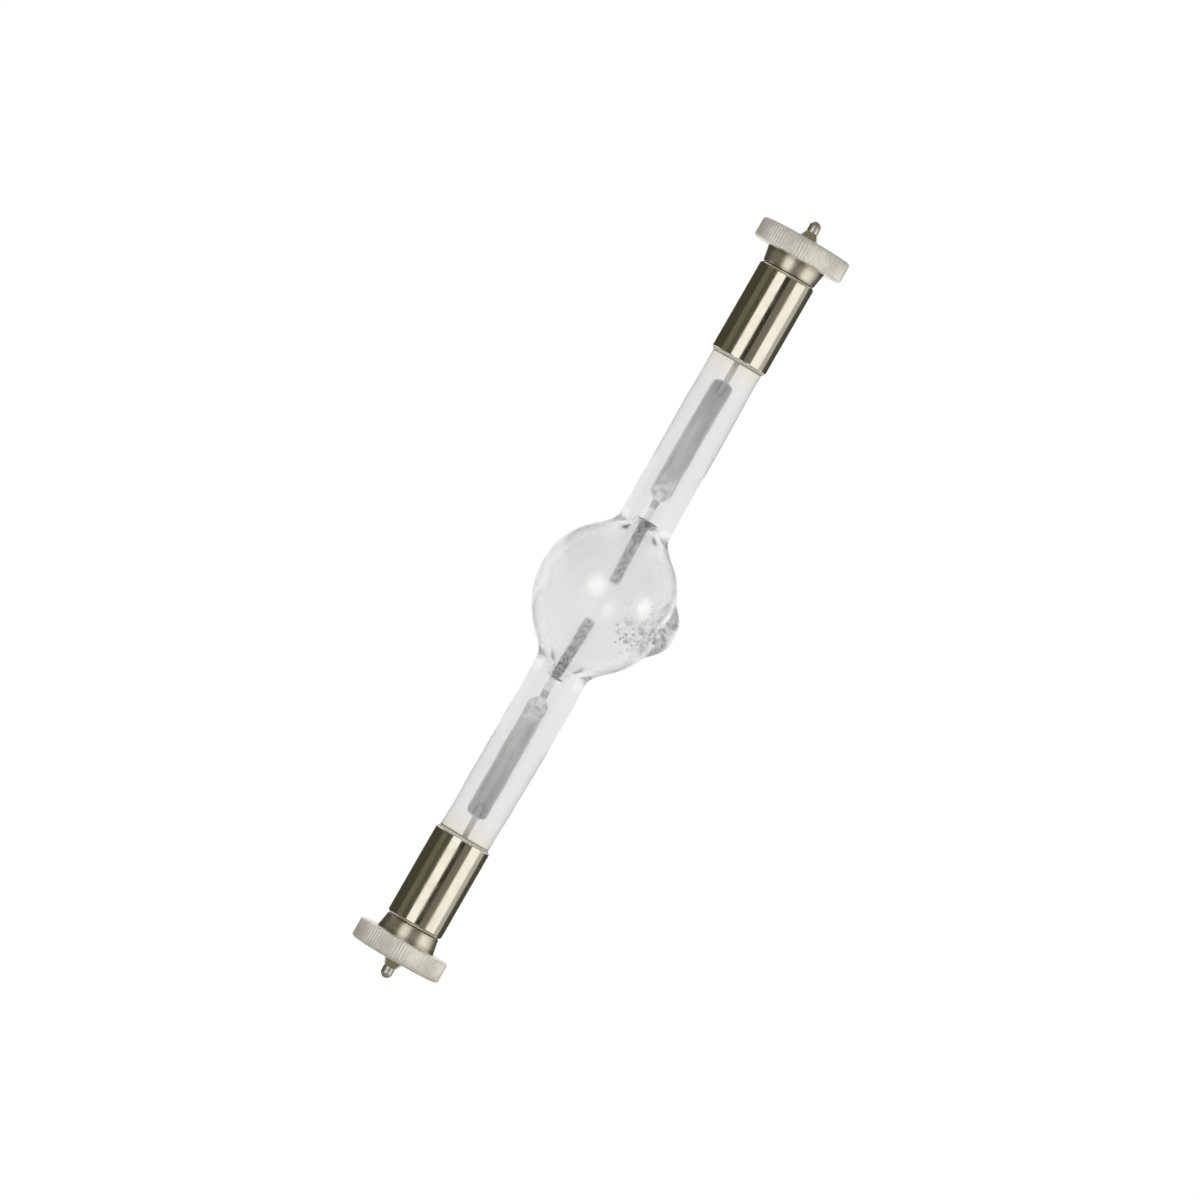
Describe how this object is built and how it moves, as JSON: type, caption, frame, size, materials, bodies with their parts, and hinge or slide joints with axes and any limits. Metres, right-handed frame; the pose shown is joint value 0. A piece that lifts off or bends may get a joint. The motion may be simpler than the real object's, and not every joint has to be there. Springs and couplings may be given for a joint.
{
  "type": "metal halide lamp",
  "caption": "Double-ended metal halide discharge lamp: round quartz bulb with an exhaust tip, long stems with foil seals, and metal caps with threaded studs and knurled nuts.",
  "frame": {"origin": "middle of the arc gap, which is the light centre and within 0.1 mm of the lamp's centroid", "axes": "+X along the lamp towards the cap at the picture's upper right, -Y towards the exhaust tip, +Z towards the picture's camera"},
  "size_m": [0.1452, 0.0258, 0.0238],
  "materials": {
    "quartz": "clear fused silica, fire-polished",
    "halide_fill": "condensed mercury and halide salts",
    "tungsten": "sintered and drawn, dark grey",
    "molybdenum": "rolled foil and wire, grey",
    "cap_plating": "turned brass with bright nickel plate",
    "nut_plating": "turned and knurled brass with satin nickel plate",
    "cement": "matt lamp cement",
    "solder": "dull silver solder"
  },
  "bodies": {
    "lamp": {"quartz_envelope": "quartz", "fill_droplets": "halide_fill", "electrode_left": "tungsten", "foil_left": "molybdenum", "outer_lead_left": "molybdenum", "cap_left": "cap_plating", "cement_left": "cement", "solder_bead_left": "solder", "electrode_right": "tungsten", "foil_right": "molybdenum", "outer_lead_right": "molybdenum", "cap_right": "cap_plating", "cement_right": "cement", "solder_bead_right": "solder"},
    "nut_left": {"knurled_nut_left": "nut_plating"},
    "nut_right": {"knurled_nut_right": "nut_plating"}
  },
  "joints": [
    {"name": "nut_left_slide", "type": "slide", "parent": "lamp", "child": "nut_left", "axis": [-1, 0, 0], "range_m": [0, 0.0105]},
    {"name": "nut_right_slide", "type": "slide", "parent": "lamp", "child": "nut_right", "axis": [1, 0, 0], "range_m": [0, 0.0105]}
  ]
}
